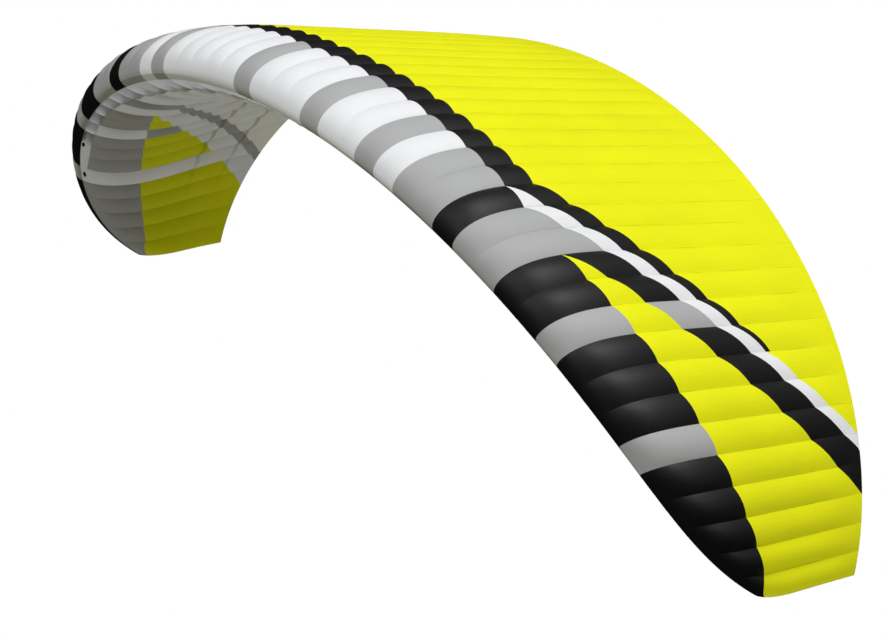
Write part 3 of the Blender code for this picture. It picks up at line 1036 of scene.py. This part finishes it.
def strip_tree():
    """Strips of inner cloth: each point carries its two ribs, the lifts at them and the chord places."""
    tree, given = new_tree("inner strips", INSIDE_INPUTS, [("Cloth", GEOMETRY)])
    grid = add_node(tree, "GeometryNodeMeshGrid", 1.0, 1.0, *STRIP_GRID)
    place = add_node(tree, "ShaderNodeSeparateXYZ", add_node(tree, "GeometryNodeInputPosition"))
    for label, value in (("along", place.outputs["X"]), ("beside", place.outputs["Y"])):
        shifted = maths(tree, "ADD", value, 0.5)
        grid = add_node(tree, "GeometryNodeStoreNamedAttribute", grid, None, label, shifted)
    strips = add_node(tree, "GeometryNodeInstanceOnPoints", given["Places"], None, grid)
    strips = add_node(tree, "GeometryNodeRealizeInstances", strips)
    along, beside, span, far_span, lift, far_lift, front, rear, waist = read(
        tree, "along", "beside", *STRIP_COLUMNS
    )
    span = remap(tree, along, 0.0, 1.0, span, far_span)
    lift = remap(tree, along, 0.0, 1.0, lift, far_lift)
    # the strip is drawn in half way between its ribs
    other = maths(tree, "SUBTRACT", 1.0, along)
    pinch = maths(tree, "MULTIPLY", along, other)
    pinch = maths(tree, "MULTIPLY", pinch, waist)
    pinch = maths(tree, "MULTIPLY_ADD", pinch, -4.0, 1.0)
    beside = maths(tree, "SUBTRACT", beside, 0.5)
    beside = maths(tree, "MULTIPLY_ADD", beside, pinch, 0.5)
    back = remap(tree, beside, 0.0, 1.0, front, rear)
    lay_inside(tree, given, strips, span, back, lift)
    return tree


INNER_STRIPS = strip_tree()


def add_strips(name, rows):
    """One kind of strip: its rows are (rib, far rib, lift, far lift, front, rear, waist)."""
    add_inner(name, set_out(name, dict(zip(STRIP_COLUMNS, zip(*rows)))), INNER_STRIPS)


diagonals = [
    (RIBS[rib], RIBS[rib + side], 0.0, 1.0, front, rear, STRIP_WAIST)
    for rib in range(FIRST_DIAGONAL_RIB, CELL_COUNT - FIRST_DIAGONAL_RIB + 1, LINE_RIB_STEP)
    for side in (-1, 1)
    for front, rear in DIAGONAL_ROWS
]
add_strips("diagonals", diagonals)
straps = []
for cell in range(1, CELL_COUNT - 1):
    chord = chord_at(RIBS[max(cell, CELL_COUNT - cell)])[1]
    for place in STRAP_PLACES:
        half = STRAP_WIDTH / 2 / chord
        straps.append((RIBS[cell], RIBS[cell + 1], STRAP_LIFT, STRAP_LIFT, place - half, place + half, 0.0))
add_strips("straps", straps)

# ================================================
# Studio: a plain white floor far below the wing, a white dome round it, soft light, and the camera.
# ================================================
FLOOR_DROP = 40.0
ROOM_RADIUS = 150.0
scene = bpy.context.scene
scene.view_settings.view_transform = "Standard"

# even white all over: it only stands behind the wing, and neither shades it nor colours it
paint, coat = new_material("matt_white_studio_paint")
add_node(coat, "ShaderNodeOutputMaterial", add_node(coat, "ShaderNodeEmission", linear("#FFFFFF"), 1.0))
paint.cycles.emission_sampling = "NONE"


def add_stage(name, shape):
    """A part of the studio, from a bmesh."""
    mesh = bpy.data.meshes.new(name)
    shape.to_mesh(mesh)
    shape.free()
    mesh.materials.append(paint)
    stage = bpy.data.objects.new(name, mesh)
    scene.collection.objects.link(stage)
    stage.visible_diffuse = False
    stage.visible_glossy = False
    stage.visible_shadow = False


disc = bmesh.new()
bmesh.ops.create_circle(
    disc, cap_ends=True, segments=96, radius=ROOM_RADIUS, matrix=Matrix.Translation((0, 0, -FLOOR_DROP))
)
add_stage("floor", disc)
dome = bmesh.new()
bmesh.ops.create_uvsphere(dome, u_segments=96, v_segments=48, radius=ROOM_RADIUS)
bmesh.ops.delete(dome, geom=[v for v in dome.verts if v.co.z < -FLOOR_DROP], context="VERTS")
bmesh.ops.reverse_faces(dome, faces=dome.faces)
add_stage("backdrop", dome)

# soft light of the room, in bands of its height from straight down (0) to straight up (1)
ROOM_BANDS = (
    (0.12, (0.98, 0.98, 0.91, 1)), (0.17, (0, 0, 0, 1)), (0.35, (0, 0, 0, 1)), (0.39, (1.40, 1.40, 1.28, 1)),
    (0.48, (1.40, 1.40, 1.28, 1)), (0.52, (0, 0, 0, 1)), (0.65, (0, 0, 0, 1)), (0.69, (0.32, 0.32, 0.325, 1)),
)
world = bpy.data.worlds.new("studio")
scene.world = world
world.use_nodes = True
sky = world.node_tree
sky.nodes.clear()
direction = add_node(sky, "ShaderNodeTexCoord")
height = add_node(sky, "ShaderNodeSeparateXYZ", direction.outputs["Generated"])
height = remap(sky, height.outputs["Z"], -1.0, 1.0, 0.0, 1.0)
shade = add_node(sky, "ShaderNodeValToRGB", height)
stops = shade.color_ramp.elements
while len(stops) < len(ROOM_BANDS):
    stops.new(0.5)
for stop, (place, colour) in zip(stops, ROOM_BANDS):
    stop.position = place
    stop.color = colour
background = add_node(sky, "ShaderNodeBackground", shade, 1.0)
add_node(sky, "ShaderNodeOutputWorld", background)
# a dark room for reflections, so that only the lamps glint on the cloth
world.cycles_visibility.glossy = False


LAMPS_AIM = (0, 0, -0.8)


def add_light(name, place, size, power, colour):
    """A round soft light at a place, facing the wing."""
    lamp = bpy.data.lights.new(name, "AREA")
    lamp.shape = "DISK"
    lamp.size = size
    lamp.energy = power
    lamp.color = colour
    light = bpy.data.objects.new(name, lamp)
    light.location = place
    light.rotation_euler = (Vector(LAMPS_AIM) - Vector(place)).to_track_quat("-Z", "Y").to_euler()
    scene.collection.objects.link(light)


add_light("key", (7, 1, 22), 14.0, 3900, (1, 1, 1))
add_light("side", (21, 3, 12), 12.0, 555, (1, 1, 1))
add_light("front", (0, -20, 14), 16.0, 1380, (1, 1, 1))

CAMERA_PLACE = (20.451, -12.823, 6.064)
CAMERA_AZIMUTH = 56.14
CAMERA_ELEVATION = 17.56
CAMERA_ROLL = 2.69
CAMERA_LENS = 136.4
CAMERA_REACH = 600
azimuth, elevation, roll = (math.radians(a) for a in (CAMERA_AZIMUTH, CAMERA_ELEVATION, CAMERA_ROLL))
back = Vector((
    math.sin(azimuth) * math.cos(elevation), -math.cos(azimuth) * math.cos(elevation), math.sin(elevation),
))
level_right = (-back).cross(Vector((0, 0, 1))).normalized()
level_up = level_right.cross(-back)
right = level_right * math.cos(roll) + level_up * math.sin(roll)
up = level_up * math.cos(roll) - level_right * math.sin(roll)
lens = bpy.data.cameras.new("camera")
lens.lens = CAMERA_LENS
lens.sensor_width = 36
lens.clip_end = CAMERA_REACH
camera = bpy.data.objects.new("camera", lens)
camera.matrix_world = Matrix.Translation(CAMERA_PLACE) @ Matrix((right, up, back)).transposed().to_4x4()
scene.collection.objects.link(camera)
scene.camera = camera
